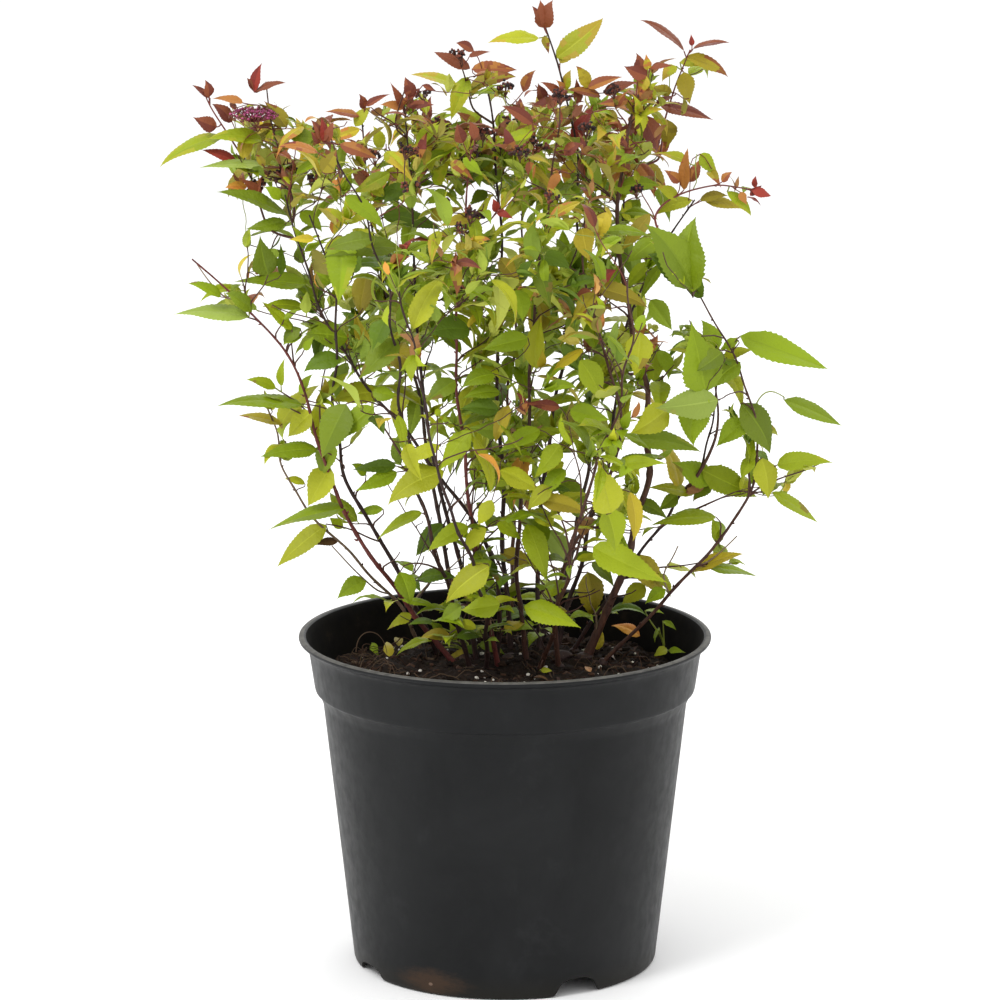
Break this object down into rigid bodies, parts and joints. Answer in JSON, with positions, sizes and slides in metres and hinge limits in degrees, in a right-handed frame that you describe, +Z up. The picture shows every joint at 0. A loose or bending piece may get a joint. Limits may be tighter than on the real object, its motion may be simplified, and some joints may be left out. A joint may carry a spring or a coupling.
{
  "type": "potted japanese spirea",
  "caption": "Vase-shaped deciduous shrub with slender stems, toothed lime-green leaves and bronze-red shoot tips, standing in a black nursery pot.",
  "frame": {"origin": "middle of the pot's underside, on the floor it stands on", "axes": "+Z up along the pot's axis; the pictured front faces -Y, and +X is to the right in the picture"},
  "size_m": [0.4235, 0.3579, 0.6037],
  "materials": {
    "black_plastic": "satin moulded charcoal-black plastic with faint scuffs",
    "potting_mix": "dark fibrous potting mix",
    "brown_bark": "thin red-brown bark",
    "green_leaves": "soft matt leaf",
    "bronze_leaves": "soft matt leaf with autumn tint"
  },
  "bodies": {
    "root": {"pot": "black_plastic", "potting_soil": "potting_mix", "root_crown": "brown_bark", "foliage_leader": "bronze_leaves", "foliage_upper_left": "bronze_leaves", "foliage_left_tip": "bronze_leaves", "foliage_upper_left_inner": "bronze_leaves", "foliage_upper_middle": "bronze_leaves", "foliage_upper_right": "bronze_leaves", "foliage_top_right": "bronze_leaves", "foliage_right_tip": "bronze_leaves", "foliage_front_upper_left": "bronze_leaves", "foliage_front_upper_right": "bronze_leaves", "foliage_back_upper_left": "bronze_leaves", "foliage_back_upper_right": "bronze_leaves", "foliage_left": "green_leaves", "foliage_left_inner": "green_leaves", "foliage_middle": "green_leaves", "foliage_right_inner": "green_leaves", "foliage_right": "green_leaves", "foliage_right_spray": "green_leaves", "foliage_lower_right": "green_leaves", "foliage_right_foot": "green_leaves", "foliage_front_left": "green_leaves", "foliage_front_right": "green_leaves", "foliage_back_left": "green_leaves", "foliage_back_right": "green_leaves", "foliage_lower_middle": "green_leaves", "foliage_lower_right_inner": "green_leaves", "foliage_lower_left": "green_leaves", "foliage_left_foot": "green_leaves", "foliage_lower_back": "green_leaves", "foliage_basal_left": "green_leaves", "foliage_basal_right": "green_leaves", "stem_outer_left": "brown_bark", "stem_left_dark": "brown_bark", "stem_left_diagonal": "brown_bark", "stem_left_thin": "brown_bark", "stem_inner_left": "brown_bark", "stem_centre_left": "brown_bark", "stem_centre_red": "brown_bark", "stem_centre_dark": "brown_bark", "stem_centre_right": "brown_bark", "stem_leader": "brown_bark", "stem_right_brown": "brown_bark", "stem_right_crooked": "brown_bark", "stem_right_diagonal": "brown_bark", "stem_right_rising": "brown_bark", "stem_far_right": "brown_bark", "stem_front_left": "brown_bark", "stem_front_right": "brown_bark", "stem_back_left": "brown_bark", "stem_back_middle": "brown_bark", "stem_back_right": "brown_bark"}
  },
  "joints": []
}
